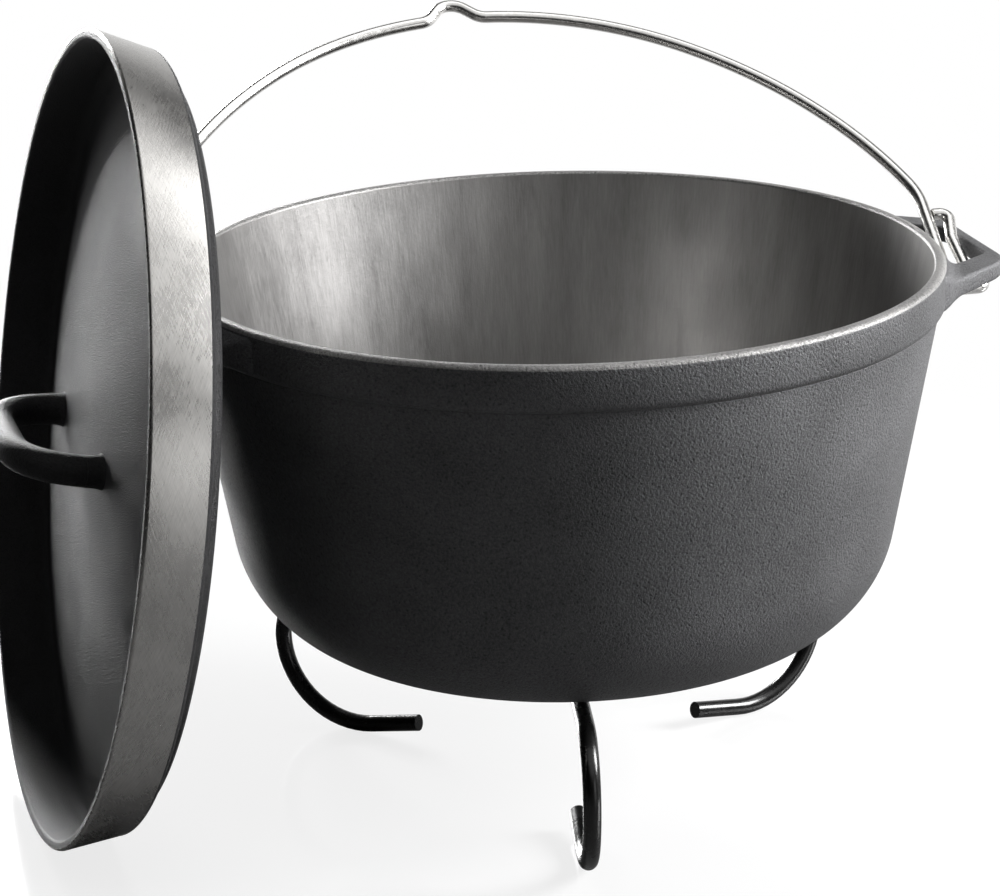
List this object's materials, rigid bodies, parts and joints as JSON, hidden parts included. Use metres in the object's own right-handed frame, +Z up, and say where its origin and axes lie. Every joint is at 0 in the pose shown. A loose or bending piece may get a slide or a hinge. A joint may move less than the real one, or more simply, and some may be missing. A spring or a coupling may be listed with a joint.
{
  "type": "dutch oven",
  "caption": "Footless cast iron camp pot with a wire bail through its ears, a coal lid leaning on one ear, and a bent rod stand.",
  "frame": {"origin": "centre of the pot's inside floor, on the pot's axis", "axes": "+Z up along the pot's axis; X through both ears along the bail's hinge line, the leaning lid at -X; the bail leans back towards +Y"},
  "size_m": [0.3587, 0.2856, 0.2802],
  "materials": {
    "pot_iron": "pebbled as-cast iron outside, machined grey inside and on the rim",
    "lid_iron": "pebbled as-cast dome, brushed bare edge band",
    "bail_wire": "bright satin drawn wire",
    "stand_rod": "gloss black"
  },
  "bodies": {
    "oven": {"pot": "pot_iron", "lid": "lid_iron", "front_leg": "stand_rod", "left_leg": "stand_rod", "right_leg": "stand_rod"},
    "bail": {"bail": "bail_wire"}
  },
  "joints": [
    {"name": "bail_swing", "type": "hinge", "parent": "oven", "child": "bail", "pos_m": [0, 0, 0.1206], "axis": [1, 0, 0], "range_deg": [0, 122]}
  ]
}
